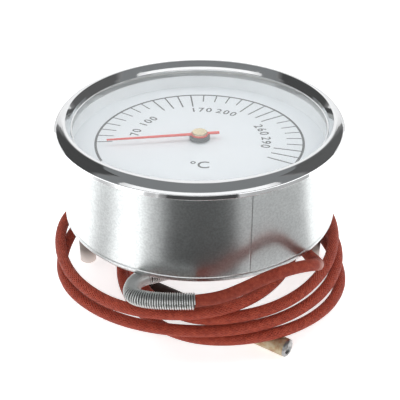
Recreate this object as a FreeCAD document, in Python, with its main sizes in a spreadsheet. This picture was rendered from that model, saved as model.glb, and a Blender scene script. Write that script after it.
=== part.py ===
import FreeCAD, Part
import math
import os
import Sketcher

# Dial oven thermometer: a gauge head on two rear pillars, a spring-guarded sleeve
# that lies in a loose coil under the head, and a bare metal sensor bulb.
# The origin is on the floor below the middle of the dial. +Z goes up through the dial.

doc = FreeCAD.newDocument("oven_thermometer")
sheet = doc.addObject("Spreadsheet::Sheet", "sizes")

SIZES = [
    # case and cover
    ("case_radius", 37.0), ("case_wall", 1.0), ("case_floor", 22.0), ("case_top", 46.0),
    ("lip_reach", 2.0), ("lip_thick", 0.8), ("lip_round", 0.7), ("bead_level", 23.6),
    ("bead_depth", 0.15), ("seam_azimuth", -71.0), ("seam_width", 0.5), ("seam_depth", 0.2),
    ("cover_radius", 34.7), ("cover_rim", 35.7), ("cover_top", 23.4),
    # bezel, glass and dial stack
    ("bezel_radius", 38.0), ("bezel_inner", 33.4), ("bezel_top", 49.5), ("bezel_skirt", 45.6),
    ("bezel_sheet", 0.7), ("crimp_gap", 0.05),
    ("glass_radius", 35.6), ("glass_floor", 45.1), ("glass_top", 46.9),
    ("spacer_inner", 33.5), ("spacer_outer", 35.6),
    ("dial_radius", 35.6), ("dial_floor", 40.7), ("dial_top", 41.5), ("dial_hole", 2.0),
    ("support_inner", 34.9), ("support_outer", 35.7),
    # pointer group
    ("pointer_rest", -172.2), ("pointer_reach", 24.5), ("pointer_tail", 5.3),
    ("pointer_root_half", 0.42), ("pointer_tip_half", 0.16), ("pointer_floor", 42.9),
    ("pointer_thick", 0.4), ("pointer_eye", 2.3), ("hub_radius", 2.1), ("hub_top", 43.75),
    ("stem_radius", 1.2), ("boss_radius", 2.75), ("boss_floor", 41.8), ("snug", 0.04),
    ("spindle_radius", 0.8), ("spindle_floor", 25.0), ("spindle_top", 43.2),
    ("barrel_radius", 1.2), ("barrel_floor", 27.4), ("barrel_top", 36.4),
    # gear pair
    ("pinion_teeth", 12), ("pinion_pitch", 1.8), ("pinion_floor", 31.2), ("pinion_top", 33.4),
    ("gear_ratio", 8), ("tooth_up", 0.24), ("tooth_down", 0.36), ("tooth_tip_half", 0.10),
    ("tooth_root_half", 0.26), ("sector_teeth", 11), ("sector_floor", 31.6),
    ("sector_top", 33.0), ("sector_x", -11.505), ("sector_y", -11.405), ("sector_eye", 2.6),
    ("pointer_sweep", 218.0),
    ("arbor_radius", 1.0), ("arbor_floor", 25.2), ("arbor_top", 38.6), ("arbor_barrel", 1.6),
    # arm, link and pin
    ("arm_azimuth", 97.0), ("arm_reach", 7.0), ("arm_half", 1.2), ("pin_radius", 0.6),
    ("pin_head", 1.0), ("pin_floor", 29.5), ("pin_head_top", 30.0), ("link_floor", 30.3),
    ("link_top", 31.2), ("link_half", 0.9), ("link_eye", 1.4), ("link_end_x", -24.15),
    ("link_end_y", -6.47),
    # movement frame
    ("low_plate_floor", 26.0), ("low_plate_top", 27.2), ("high_plate_floor", 36.6),
    ("high_plate_top", 37.8), ("post_radius", 1.5), ("post_foot", 2.0), ("post_hole", 0.95),
    ("post_hole_depth", 4.0), ("screw_radius", 0.9), ("screw_head", 1.8),
    ("screw_head_tall", 1.0), ("screw_reach", 3.6), ("slot_width", 0.5), ("slot_depth", 0.4),
    ("post_one_x", 6.0), ("post_one_y", -6.0), ("post_two_x", -5.0), ("post_two_y", 7.0),
    ("post_three_x", -16.0), ("post_three_y", -15.0), ("running", 0.05),
    # curved pressure tube, its tip and its socket
    ("bourdon_radius", 25.0), ("bourdon_half_wide", 0.8), ("bourdon_floor", 25.1),
    ("bourdon_top", 29.9), ("bourdon_start", -50.0), ("bourdon_end", 192.0),
    ("tip_length", 4.4), ("tip_half_wide", 1.6), ("tip_floor", 24.6), ("tip_top", 30.0),
    ("socket_length", 11.0), ("socket_outer", 2.5), ("socket_inner", 11.0),
    ("socket_top", 32.0),
    # gland in the cover
    ("gland_x", 7.0), ("gland_y", -17.0), ("gland_radius", 3.0), ("gland_flange", 4.2),
    ("gland_floor", 20.4), ("gland_top", 27.0), ("gland_bore_top", 23.9),
    # rear pillars
    ("pillar_x", 33.0), ("pillar_y", 2.5), ("pillar_radius", 2.3), ("rivet_radius", 1.4),
    ("rivet_head", 1.75),
    ("rivet_top", 24.2), ("tap_radius", 1.25), ("tap_depth", 10.0), ("pillar_edge", 0.3),
    # spring guard, sleeve and bulb
    ("spring_radius", 2.1), ("sleeve_radius", 1.5), ("bulb_radius", 2.4),
    ("bulb_length", 46.0), ("bulb_front_x", 22.4), ("bulb_front_y", -38.9),
    ("bulb_turn", 145.7), ("bulb_neck", 1.9), ("bulb_neck_long", 3.0), ("bulb_dish", 0.8),
    ("bulb_dish_radius", 1.6),
]
for row, (alias, value) in enumerate(SIZES, start=1):
    sheet.set("A%d" % row, alias)
    sheet.set("B%d" % row, str(value))
    sheet.setAlias("B%d" % row, alias)
doc.recompute()


def size(expression):
    """Value of a sheet name, or of an expression in sheet names."""
    return float(sheet.evalExpression(bind(expression)))


def bind(expression):
    """Put the sheet's name in front of each of its aliases."""
    words = []
    word = ""
    for letter in expression + " ":
        if letter.isalpha() or letter == "_":
            word += letter
            continue
        if word in ALIASES:
            word = "sizes." + word
        words.append(word + letter)
        word = ""
    return "".join(words).strip()


ALIASES = {alias for alias, value in SIZES}
nodes = []


def finish(item, label):
    """Name a finished sub-part and keep it for export."""
    item.Label = label
    nodes.append(item)
    return item


def origin_plane(body, role):
    for feature in body.Origin.OriginFeatures:
        if feature.Role == role:
            return feature
    raise ValueError("no plane " + role)


def outline_sketch(body, role, outline, offset=None):
    """Closed outline of straight edges, each corner held by two sheet expressions."""
    sketch = body.newObject("Sketcher::SketchObject", body.Name + "_outline")
    sketch.AttachmentSupport = (origin_plane(body, role), [""])
    sketch.MapMode = "FlatFace"
    if offset is not None:
        sketch.setExpression("AttachmentOffset.Base.z", bind(offset))
    corners = [FreeCAD.Vector(size(a), size(b), 0) for a, b in outline]
    count = len(corners)
    for i in range(count):
        sketch.addGeometry(Part.LineSegment(corners[i], corners[(i + 1) % count]), False)
    for i in range(count):
        sketch.addConstraint(Sketcher.Constraint("Coincident", i, 2, (i + 1) % count, 1))
    for i, (a, b) in enumerate(outline):
        for kind, expression, value in (("DistanceX", a, corners[i].x), ("DistanceY", b, corners[i].y)):
            index = sketch.addConstraint(Sketcher.Constraint(kind, -1, 1, i, 1, value))
            sketch.setExpression("Constraints[%d]" % index, bind(expression))
    return sketch


def lathe(name, outline, angle=None):
    """Body turned about its own Z axis from (radius, level) corners."""
    body = doc.addObject("PartDesign::Body", name)
    sketch = outline_sketch(body, "XZ_Plane", outline)
    turned = body.newObject("PartDesign::Revolution", name + "_turned")
    turned.Profile = sketch
    turned.ReferenceAxis = (sketch, ["V_Axis"])
    turned.Angle = 360.0
    if angle is not None:
        turned.setExpression("Angle", bind(angle))
    doc.recompute()
    return body


def plate(name, outline, level, thick):
    """Body padded upward from a level from (x, y) corners."""
    body = doc.addObject("PartDesign::Body", name)
    sketch = outline_sketch(body, "XY_Plane", outline, level)
    padded = body.newObject("PartDesign::Pad", name + "_pad")
    padded.Profile = sketch
    padded.setExpression("Length", bind(thick))
    doc.recompute()
    return body


def rod(name, radius, level, top, x="0", y="0"):
    """Upright round rod between two levels."""
    item = doc.addObject("Part::Cylinder", name)
    item.setExpression("Radius", bind(radius))
    item.setExpression("Height", bind("(%s) - (%s)" % (top, level)))
    item.setExpression("Placement.Base.x", bind(x))
    item.setExpression("Placement.Base.y", bind(y))
    item.setExpression("Placement.Base.z", bind(level))
    return item


def block(name, low, high):
    """Box between two corners given as sheet expressions."""
    item = doc.addObject("Part::Box", name)
    for side, axis, a, b in zip(("Length", "Width", "Height"), "xyz", low, high):
        item.setExpression(side, bind("(%s) - (%s)" % (b, a)))
        item.setExpression("Placement.Base." + axis, bind(a))
    return item


def fused(name, parts):
    item = doc.addObject("Part::MultiFuse", name)
    item.Shapes = parts
    doc.recompute()
    return item


def cut(name, base, tools):
    """Take the tools away, and check that they took something."""
    tool = tools[0]
    if len(tools) > 1:
        tool = fused(name + "_tools", tools)
    item = doc.addObject("Part::Cut", name)
    item.Base = base
    item.Tool = tool
    doc.recompute()
    if item.Shape.Volume >= base.Shape.Volume - 1e-6:
        raise ValueError("nothing was cut from " + name)
    return item


def compound(name, parts):
    item = doc.addObject("Part::Compound", name)
    item.Links = parts
    doc.recompute()
    return item


# ---------------------------------------------------------------- case

drum = lathe("drum_shell", [
    ("case_radius - lip_reach", "case_floor"),
    ("case_radius - lip_round", "case_floor"),
    ("case_radius - lip_round * 0.3", "case_floor + lip_round * 0.3"),
    ("case_radius", "case_floor + lip_round"),
    ("case_radius", "bead_level - bead_depth"),
    ("case_radius - bead_depth", "bead_level"),
    ("case_radius", "bead_level + bead_depth"),
    ("case_radius", "case_top"),
    ("case_radius - case_wall", "case_top"),
    ("case_radius - case_wall", "case_floor + lip_thick"),
    ("case_radius - lip_reach", "case_floor + lip_thick"),
])
seam = block("seam_groove",
             ("case_radius - seam_depth", "-seam_width / 2", "bead_level + 1"),
             ("case_radius + 1", "seam_width / 2", "case_top + 1"))
turn_seam = FreeCAD.Placement(FreeCAD.Vector(0, 0, 0),
                              FreeCAD.Rotation(FreeCAD.Vector(0, 0, 1), size("seam_azimuth")))
seam_turned = compound("seam_turned", [seam])
seam_turned.Placement = turn_seam
finish(cut("drum_with_seam", drum, [seam_turned]), "case_drum")

cover_disc = lathe("cover_disc", [
    ("0", "case_floor"),
    ("cover_radius", "case_floor"),
    ("cover_radius", "case_floor + lip_thick"),
    ("cover_rim", "case_floor + lip_thick"),
    ("cover_rim", "cover_top"),
    ("0", "cover_top"),
])
cover_holes = [rod("cover_gland_hole", "gland_radius + running", "case_floor - 1", "cover_top + 1",
                   "gland_x", "gland_y")]
for side, sign in (("left", "-"), ("right", "")):
    cover_holes.append(rod("cover_hole_" + side, "rivet_radius + running", "case_floor - 1",
                           "cover_top + 1", sign + "pillar_x", "pillar_y"))
finish(cut("cover_drilled", cover_disc, cover_holes), "back_cover")

# ---------------------------------------------------------------- bezel, glass and dial

bezel = lathe("bezel", [
    ("bezel_inner", "glass_top"),
    ("bezel_inner + 0.25", "glass_top + 0.15"),
    ("bezel_inner + 0.55", "glass_top + 0.95"),
    ("bezel_inner + 1.4", "bezel_top - 0.15"),
    ("bezel_inner + 1.6", "bezel_top"),
    ("bezel_inner + 2.1", "bezel_top"),
    ("bezel_inner + 2.55", "bezel_top - 0.25"),
    ("bezel_radius - 0.75", "bezel_top - 1.3"),
    ("bezel_radius - 0.25", "bezel_top - 1.65"),
    ("bezel_radius", "bezel_top - 2.2"),
    ("bezel_radius", "bezel_skirt + 0.6"),
    ("bezel_radius - 0.2", "bezel_skirt + 0.15"),
    ("bezel_radius - 0.6", "bezel_skirt"),
    ("case_radius + crimp_gap", "bezel_skirt"),
    ("case_radius + crimp_gap", "bezel_skirt + 0.35"),
    ("case_radius + 0.35", "bezel_skirt + 0.6"),
    ("case_radius + 0.35", "bezel_top - 2.3"),
    ("bezel_inner + 2.2", "bezel_top - 0.95"),
    ("bezel_inner + bezel_sheet + 1.1", "bezel_top - 1.25"),
    ("bezel_inner + bezel_sheet + 0.1", "glass_top"),
])
finish(bezel, "bezel_ring")

finish(rod("lens", "glass_radius", "glass_floor", "glass_top"), "lens_glass")

spacer_solid = rod("spacer_solid", "spacer_outer", "dial_top", "glass_floor")
spacer_bore = rod("spacer_bore", "spacer_inner", "dial_top - 1", "glass_floor + 1")
finish(cut("spacer", spacer_solid, [spacer_bore]), "spacer_ring")

dial_solid = rod("dial_solid", "dial_radius", "dial_floor", "dial_top")
dial_bore = rod("dial_bore", "dial_hole", "dial_floor - 1", "dial_top + 1")
finish(cut("dial", dial_solid, [dial_bore]), "dial_plate")

support_solid = rod("support_solid", "support_outer", "cover_top", "dial_floor")
support_bore = rod("support_bore", "support_inner", "cover_top - 1", "dial_floor + 1")
finish(cut("support", support_solid, [support_bore]), "dial_support_ring")

# ---------------------------------------------------------------- pointer group

blade = plate("pointer_blade", [
    ("-pointer_tail", "-pointer_root_half"),
    ("0", "-pointer_root_half - 0.05"),
    ("pointer_reach", "-pointer_tip_half"),
    ("pointer_reach + 0.15", "0"),
    ("pointer_reach", "pointer_tip_half"),
    ("0", "pointer_root_half + 0.05"),
    ("-pointer_tail", "pointer_root_half"),
], "pointer_floor", "pointer_thick")
eye = rod("pointer_eye_disc", "pointer_eye", "pointer_floor", "pointer_floor + pointer_thick")
eye_hole = rod("pointer_eye_hole", "stem_radius + snug", "pointer_floor - 1", "hub_top")
pointer = cut("pointer_solid", fused("pointer_body", [blade, eye]), [eye_hole])
pointer.Placement = FreeCAD.Placement(
    FreeCAD.Vector(0, 0, 0), FreeCAD.Rotation(FreeCAD.Vector(0, 0, 1), size("pointer_rest")))
finish(pointer, "pointer")

finish(lathe("hub", [
    ("spindle_radius + snug", "boss_floor"),
    ("stem_radius", "boss_floor"),
    ("stem_radius", "pointer_floor + pointer_thick"),
    ("hub_radius", "pointer_floor + pointer_thick"),
    ("hub_radius", "hub_top - 0.15"),
    ("hub_radius - 0.15", "hub_top"),
    ("0", "hub_top"),
    ("0", "spindle_top"),
    ("spindle_radius + snug", "spindle_top"),
]), "pointer_hub")

finish(lathe("boss", [
    ("stem_radius + snug", "boss_floor"),
    ("boss_radius", "boss_floor"),
    ("boss_radius", "pointer_floor - 0.25"),
    ("boss_radius - 0.25", "pointer_floor"),
    ("stem_radius + snug", "pointer_floor"),
]), "pointer_boss")


def toothed_rim(pitch_radius, first, step, count):
    """Corners of a run of straight-sided teeth about the origin, in the plane z = 0."""
    root = pitch_radius - size("tooth_down")
    tip = pitch_radius + size("tooth_up")
    corners = []
    for k in range(count):
        middle = math.radians(first + k * step)
        half_root = size("tooth_root_half") / root
        half_tip = size("tooth_tip_half") / tip
        for radius, turn in ((root, -half_root), (tip, -half_tip), (tip, half_tip), (root, half_root)):
            angle = middle + turn
            corners.append(FreeCAD.Vector(radius * math.cos(angle), radius * math.sin(angle), 0))
    return corners


def prism(corners, level, top):
    """Upright solid on a closed run of corners."""
    face = Part.Face(Part.makePolygon(corners + [corners[0]]))
    face.translate(FreeCAD.Vector(0, 0, level))
    return face.extrude(FreeCAD.Vector(0, 0, top - level))


# The two gears mesh on the line between their centres. The sector is at the cold end
# of its travel, so its middle tooth is half a sweep short of that line.
mesh_azimuth = math.degrees(math.atan2(-size("sector_y"), -size("sector_x")))
sector_pitch = size("pinion_pitch") * size("gear_ratio")
sector_step = 360.0 / (size("pinion_teeth") * size("gear_ratio"))
sector_middle = mesh_azimuth - size("pointer_sweep") / size("gear_ratio") / 2
past_tooth = ((mesh_azimuth - sector_middle) / sector_step) % 1.0
gap_turn = (0.5 - past_tooth) * sector_step
pinion_first = mesh_azimuth + 180.0 - gap_turn * size("gear_ratio")

pinion_step = 360.0 / size("pinion_teeth")
pinion_teeth = toothed_rim(size("pinion_pitch"), pinion_first, pinion_step, int(size("pinion_teeth")))
pinion = doc.addObject("Part::Feature", "pinion")
pinion.Shape = prism(pinion_teeth, size("pinion_floor"), size("pinion_top"))
spindle_long = rod("spindle_long", "spindle_radius", "spindle_floor", "spindle_top")
spindle_barrel = rod("spindle_barrel", "barrel_radius", "barrel_floor", "barrel_top")
finish(fused("spindle", [spindle_long, spindle_barrel, pinion]), "pointer_spindle")

# ---------------------------------------------------------------- sector, arbor and link

rim = toothed_rim(sector_pitch, sector_middle - sector_step * (size("sector_teeth") - 1) / 2,
                  sector_step, int(size("sector_teeth")))
wedge = prism(rim + [FreeCAD.Vector(0, 0, 0)], size("sector_floor"), size("sector_top"))
wedge_item = doc.addObject("Part::Feature", "sector_wedge")
wedge_item.Shape = wedge
wedge_item.Placement = FreeCAD.Placement(
    FreeCAD.Vector(size("sector_x"), size("sector_y"), 0), FreeCAD.Rotation())
sector_eye = rod("sector_eye_disc", "sector_eye", "sector_floor", "sector_top", "sector_x", "sector_y")
arm_turn = math.radians(size("arm_azimuth"))
pin_x = size("sector_x") + size("arm_reach") * math.cos(arm_turn)
pin_y = size("sector_y") + size("arm_reach") * math.sin(arm_turn)
arm = block("sector_arm", ("0", "-arm_half", "sector_floor"), ("arm_reach", "arm_half", "sector_top"))
arm_turned = compound("arm_turned", [arm])
arm_turned.Placement = FreeCAD.Placement(
    FreeCAD.Vector(size("sector_x"), size("sector_y"), 0),
    FreeCAD.Rotation(FreeCAD.Vector(0, 0, 1), size("arm_azimuth")))
arm_end = rod("arm_end", "arm_half", "sector_floor", "sector_top", str(pin_x), str(pin_y))
sector_holes = [
    rod("sector_bore", "arbor_radius + snug", "sector_floor - 1", "sector_top + 1",
        "sector_x", "sector_y"),
    rod("arm_bore", "pin_radius + snug", "sector_floor - 1", "sector_top + 1", str(pin_x), str(pin_y)),
]
finish(cut("sector", fused("sector_body", [wedge_item, sector_eye, arm_turned, arm_end]), sector_holes),
       "sector_gear")

arbor_shaft = rod("arbor_shaft", "arbor_radius", "arbor_floor", "arbor_top", "sector_x", "sector_y")
arbor_low = rod("arbor_low", "arbor_barrel", "low_plate_top + 0.2", "sector_floor",
                "sector_x", "sector_y")
arbor_high = rod("arbor_high", "arbor_barrel", "sector_top", "high_plate_floor - 0.2",
                 "sector_x", "sector_y")
finish(fused("arbor", [arbor_shaft, arbor_low, arbor_high]), "sector_arbor")

pin_shank = rod("pin_shank", "pin_radius", "pin_head_top", "sector_top", str(pin_x), str(pin_y))
pin_cap = rod("pin_cap", "pin_head", "pin_floor", "pin_head_top", str(pin_x), str(pin_y))
finish(fused("pin", [pin_shank, pin_cap]), "link_pin")

link_run_x = size("link_end_x") - pin_x
link_run_y = size("link_end_y") - pin_y
link_length = math.hypot(link_run_x, link_run_y)
link_bar = block("link_bar", ("0", "-link_half", "link_floor"),
                 (str(link_length), "link_half", "link_top"))
link_turned = compound("link_turned", [link_bar])
link_turned.Placement = FreeCAD.Placement(
    FreeCAD.Vector(pin_x, pin_y, 0),
    FreeCAD.Rotation(FreeCAD.Vector(0, 0, 1), math.degrees(math.atan2(link_run_y, link_run_x))))
link_near = rod("link_near", "link_eye", "link_floor", "link_top", str(pin_x), str(pin_y))
link_far = rod("link_far", "link_eye", "link_floor", "link_top", "link_end_x", "link_end_y")
link_holes = [
    rod("link_near_hole", "pin_radius + running", "link_floor - 1", "link_top + 1",
        str(pin_x), str(pin_y)),
    rod("link_far_hole", "pin_radius + running", "link_floor - 1", "link_top + 1",
        "link_end_x", "link_end_y"),
]
finish(cut("link", fused("link_body", [link_turned, link_near, link_far]), link_holes), "drive_link")

# ---------------------------------------------------------------- movement frame

POSTS = ("one", "two", "three")
PLATE_OUTLINE = [("-19", "-13"), ("-17.5", "-18"), ("-12", "-17"), ("-4", "-9.5"), ("8", "-9"),
                 ("9", "-3"), ("2.5", "5"), ("-3.5", "10"), ("-8", "9"), ("-17", "-6")]
for name, label, level, top, post_hole in (
        ("low_plate", "movement_bottom_plate", "low_plate_floor", "low_plate_top",
         "post_radius + running"),
        ("high_plate", "movement_top_plate", "high_plate_floor", "high_plate_top",
         "screw_radius + running")):
    sheet_metal = plate(name + "_blank", PLATE_OUTLINE, level, "%s - %s" % (top, level))
    below = level + " - 1"
    above = top + " + 1"
    holes = [rod(name + "_spindle_hole", "spindle_radius + running", below, above),
             rod(name + "_arbor_hole", "arbor_radius + running", below, above, "sector_x", "sector_y")]
    for post in POSTS:
        holes.append(rod("%s_hole_%s" % (name, post), post_hole, below, above,
                         "post_%s_x" % post, "post_%s_y" % post))
    finish(cut(name, sheet_metal, holes), label)

posts = []
screws = []
for post in POSTS:
    x = "post_%s_x" % post
    y = "post_%s_y" % post
    foot = rod("post_foot_" + post, "post_foot", "cover_top", "low_plate_floor", x, y)
    column = rod("post_column_" + post, "post_radius", "low_plate_floor", "high_plate_floor", x, y)
    hole = rod("post_tap_" + post, "post_hole", "high_plate_floor - post_hole_depth",
               "high_plate_floor + 1", x, y)
    posts.append(cut("post_" + post, fused("post_body_" + post, [foot, column]), [hole]))
    shank = rod("screw_shank_" + post, "screw_radius", "high_plate_top - screw_reach - 1",
                "high_plate_top", x, y)
    head = rod("screw_head_" + post, "screw_head", "high_plate_top",
               "high_plate_top + screw_head_tall", x, y)
    slot = block("screw_slot_" + post,
                 (x + " - screw_head - 1", y + " - slot_width / 2",
                  "high_plate_top + screw_head_tall - slot_depth"),
                 (x + " + screw_head + 1", y + " + slot_width / 2",
                  "high_plate_top + screw_head_tall + 1"))
    screws.append(cut("screw_" + post, fused("screw_body_" + post, [shank, head]), [slot]))
finish(compound("posts", posts), "movement_posts")
finish(compound("screws", screws), "movement_screws")

# ---------------------------------------------------------------- curved pressure tube

bourdon = lathe("bourdon", [
    ("bourdon_radius - bourdon_half_wide", "bourdon_floor + 0.5"),
    ("bourdon_radius - bourdon_half_wide + 0.4", "bourdon_floor"),
    ("bourdon_radius + bourdon_half_wide - 0.4", "bourdon_floor"),
    ("bourdon_radius + bourdon_half_wide", "bourdon_floor + 0.5"),
    ("bourdon_radius + bourdon_half_wide", "bourdon_top - 0.5"),
    ("bourdon_radius + bourdon_half_wide - 0.4", "bourdon_top"),
    ("bourdon_radius - bourdon_half_wide + 0.4", "bourdon_top"),
    ("bourdon_radius - bourdon_half_wide", "bourdon_top - 0.5"),
], "bourdon_end - bourdon_start")
# The turned body may grow either way round from its own X axis, so its middle is
# brought to the middle of the wanted sweep.
middle_now = math.degrees(math.atan2(bourdon.Shape.CenterOfMass.y, bourdon.Shape.CenterOfMass.x))
middle_wanted = (size("bourdon_start") + size("bourdon_end")) / 2
bourdon.Placement = FreeCAD.Placement(
    FreeCAD.Vector(0, 0, 0),
    FreeCAD.Rotation(FreeCAD.Vector(0, 0, 1), middle_wanted - middle_now))
finish(bourdon, "bourdon_tube")

tip_block = block("tip_block", ("bourdon_radius - tip_half_wide", "0", "tip_floor"),
                  ("bourdon_radius + tip_half_wide", "tip_length", "tip_top"))
tip_turned = compound("tip_turned", [tip_block])
tip_turned.Placement = FreeCAD.Placement(
    FreeCAD.Vector(0, 0, 0), FreeCAD.Rotation(FreeCAD.Vector(0, 0, 1), size("bourdon_end")))
finish(tip_turned, "bourdon_tip")

socket_block = block("socket_blank", ("bourdon_radius - socket_inner", "-socket_length", "cover_top"),
                     ("bourdon_radius + socket_outer", "0", "socket_top"))
socket_turned = compound("socket_turned", [socket_block])
socket_turned.Placement = FreeCAD.Placement(
    FreeCAD.Vector(0, 0, 0), FreeCAD.Rotation(FreeCAD.Vector(0, 0, 1), size("bourdon_start")))
socket_hole = rod("socket_hole", "gland_radius + running", "cover_top - 1", "gland_top",
                  "gland_x", "gland_y")
finish(cut("socket", socket_turned, [socket_hole]), "socket_block")

# ---------------------------------------------------------------- gland and pillars

gland = lathe("gland", [
    ("spring_radius + running", "gland_floor"),
    ("gland_flange - 0.4", "gland_floor"),
    ("gland_flange", "gland_floor + 0.4"),
    ("gland_flange", "case_floor"),
    ("gland_radius", "case_floor"),
    ("gland_radius", "gland_top"),
    ("0", "gland_top"),
    ("0", "gland_bore_top"),
    ("spring_radius + running", "gland_bore_top"),
])
gland.setExpression("Placement.Base.x", bind("gland_x"))
gland.setExpression("Placement.Base.y", bind("gland_y"))
finish(gland, "capillary_gland")

pillars = []
for side, sign in (("left", "-"), ("right", "")):
    pillar = lathe("pillar_" + side, [
        ("tap_radius", "0"),
        ("pillar_radius - pillar_edge", "0"),
        ("pillar_radius", "pillar_edge"),
        ("pillar_radius", "case_floor"),
        ("rivet_radius", "case_floor"),
        ("rivet_radius", "cover_top"),
        ("rivet_head", "cover_top"),
        ("rivet_head - 0.3", "rivet_top"),
        ("0", "rivet_top"),
        ("0", "tap_depth"),
        ("tap_radius", "tap_depth"),
    ])
    pillar.setExpression("Placement.Base.x", bind(sign + "pillar_x"))
    pillar.setExpression("Placement.Base.y", bind("pillar_y"))
    pillars.append(pillar)
finish(compound("pillars", pillars), "mounting_pillars")

# ---------------------------------------------------------------- cord: guard, sleeve, bulb


def rounded_route(points, share=0.45):
    """Straight runs joined by tangent arcs, the length of the line and the arc radii."""
    edges = []
    radii = []
    length = 0.0
    start = points[0]
    for before, corner, after in zip(points, points[1:], points[2:]):
        toward = (corner - before).normalize()
        away = (after - corner).normalize()
        turn = toward.getAngle(away)
        reach = share * min((corner - before).Length, (after - corner).Length)
        radius = reach / math.tan(turn / 2)
        arc_start = corner - toward * reach
        arc_end = corner + away * reach
        inward = (away - toward).normalize()
        arc_middle = corner + inward * (radius / math.cos(turn / 2) - radius)
        edges.append(Part.LineSegment(start, arc_start).toShape())
        edges.append(Part.Arc(arc_start, arc_middle, arc_end).toShape())
        length += (arc_start - start).Length + radius * turn
        radii.append(radius)
        start = arc_end
    edges.append(Part.LineSegment(start, points[-1]).toShape())
    length += (points[-1] - start).Length
    return edges, length, radii


def cord_tube(name, points, radius):
    """Round solid cord along a route, checked against section times length."""
    edges, length, radii = rounded_route(points)
    section = Part.Wire(Part.makeCircle(radius, points[0], points[1] - points[0]))
    shape = Part.Wire(edges).makePipeShell([section], True, False)
    expected = math.pi * radius * radius * length
    if abs(shape.Volume - expected) > 0.02 * expected:
        raise ValueError("the volume of %s is off" % name)
    item = doc.addObject("Part::Feature", name)
    item.Shape = shape
    print(name, "length", round(length, 1), "radii", " ".join("%.1f" % r for r in radii))
    return item


def ellipse_quarter(first, last, sideways, count=3):
    """Points of a quarter turn between two extremes of a coil, without the last one.

    sideways is true when the line runs along X at the first extreme."""
    points = []
    for k in range(count):
        turn = math.pi / 2 * k / count
        rise = math.sin(turn)
        fall = math.cos(turn)
        if sideways:
            x = first[0] + (last[0] - first[0]) * rise
            y = last[1] + (first[1] - last[1]) * fall
        else:
            x = last[0] + (first[0] - last[0]) * fall
            y = first[1] + (last[1] - first[1]) * rise
        z = first[2] + (last[2] - first[2]) * k / count
        points.append((x, y, z))
    return points


# The guard leaves the gland, turns under the head and makes a hairpin in front of it.
GUARD_ROUTE = [
    (7.0, -17.0, 23.9), (7.0, -17.0, 15.2), (-2.5, -21.5, 15.8), (-9.5, -29.8, 19.4),
    (-16.6, -33.0, 19.8), (-16.6, -42.2, 20.1), (-1.2, -42.0, 20.4),
]
# The sleeve rises out of the guard, dives under the head and starts the coil.
LEAD_ROUTE = [
    (-1.2, -42.0, 20.4), (5.0, -42.0, 21.5), (10.0, -41.4, 23.6), (15.6, -40.0, 25.8),
    (21.5, -38.2, 27.1), (27.5, -34.6, 25.6), (30.2, -28.6, 21.0), (27.2, -20.0, 18.9),
    (25.0, -9.0, 18.9), (22.5, 4.0, 18.8), (15.5, 16.5, 18.5),
]
# Extremes of the descending coil, in order: back, left, front, right, back and so on.
COIL_EXTREMES = [
    (4.0, 26.0, 18.0), (-41.1, 3.4, 11.0), (-3.8, -43.2, 16.5), (27.6, -3.0, 15.5),
    (0.0, 24.0, 14.5), (-19.1, -11.7, 13.6), (3.0, -41.2, 13.2), (39.4, 3.3, 12.4),
    (0.0, 38.0, 11.0), (-40.0, -6.5, 7.6), (2.0, -42.0, 10.1), (40.1, -3.0, 9.0),
    (0.0, 36.0, 7.5), (-22.7, -8.0, 6.8), (4.2, -41.5, 6.9), (40.2, -10.0, 5.4),
    (2.0, 40.0, 2.6), (-23.0, 12.0, 1.7),
]
TAIL_ROUTE = [(-23.0, 12.0, 1.7), (-23.4, 1.0, 1.8), (-21.4, -8.4, 2.2)]

sleeve_route = list(LEAD_ROUTE)
for k, (first, last) in enumerate(zip(COIL_EXTREMES, COIL_EXTREMES[1:])):
    sleeve_route += ellipse_quarter(first, last, k % 2 == 0)
sleeve_route += TAIL_ROUTE
bulb_azimuth = math.radians(size("bulb_turn"))
bulb_back = (size("bulb_front_x") + size("bulb_length") * math.cos(bulb_azimuth),
             size("bulb_front_y") + size("bulb_length") * math.sin(bulb_azimuth),
             size("bulb_radius"))
sleeve_route.append(bulb_back)

finish(cord_tube("guard", [FreeCAD.Vector(*p) for p in GUARD_ROUTE], size("spring_radius")),
       "spring_guard")
finish(cord_tube("sleeve", [FreeCAD.Vector(*p) for p in sleeve_route], size("sleeve_radius")),
       "capillary_sleeve")

# The bulb lies on the floor. It is turned about Z, from its dished front end at
# level zero to the neck that takes the sleeve, and is then laid down.
bulb = lathe("bulb", [
    ("0", "bulb_dish"),
    ("bulb_dish_radius", "bulb_dish"),
    ("bulb_dish_radius + 0.2", "0.1"),
    ("bulb_radius - 0.4", "0"),
    ("bulb_radius", "0.5"),
    ("bulb_radius", "bulb_length - bulb_neck_long - 0.6"),
    ("bulb_neck", "bulb_length - bulb_neck_long"),
    ("bulb_neck", "bulb_length"),
    ("0", "bulb_length"),
])
lay_down = FreeCAD.Rotation(FreeCAD.Vector(0, 0, 1), FreeCAD.Vector(math.cos(bulb_azimuth),
                                                                    math.sin(bulb_azimuth), 0))
bulb.Placement = FreeCAD.Placement(
    FreeCAD.Vector(size("bulb_front_x"), size("bulb_front_y"), size("bulb_radius")), lay_down)
finish(bulb, "sensor_bulb")

# ---------------------------------------------------------------- checks and files

doc.recompute()
for item in doc.Objects:
    if "Invalid" in item.State or "Error" in item.State:
        raise ValueError("%s is in error" % item.Label)
os.makedirs("parts", exist_ok=True)
for item in nodes:
    shape = item.Shape
    if shape.isNull() or not shape.isValid() or shape.Volume <= 0:
        raise ValueError("%s has no valid shape" % item.Label)
    shape.exportStep("parts/%s.step" % item.Label)
    box = shape.BoundBox
    print("%-24s %d solid(s) %9.1f mm3  x %.1f %.1f  y %.1f %.1f  z %.1f %.1f" % (
        item.Label, len(shape.Solids), shape.Volume, box.XMin, box.XMax, box.YMin, box.YMax,
        box.ZMin, box.ZMax))
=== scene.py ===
import math

import bpy
import bmesh
from mathutils import Matrix, Vector


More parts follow.
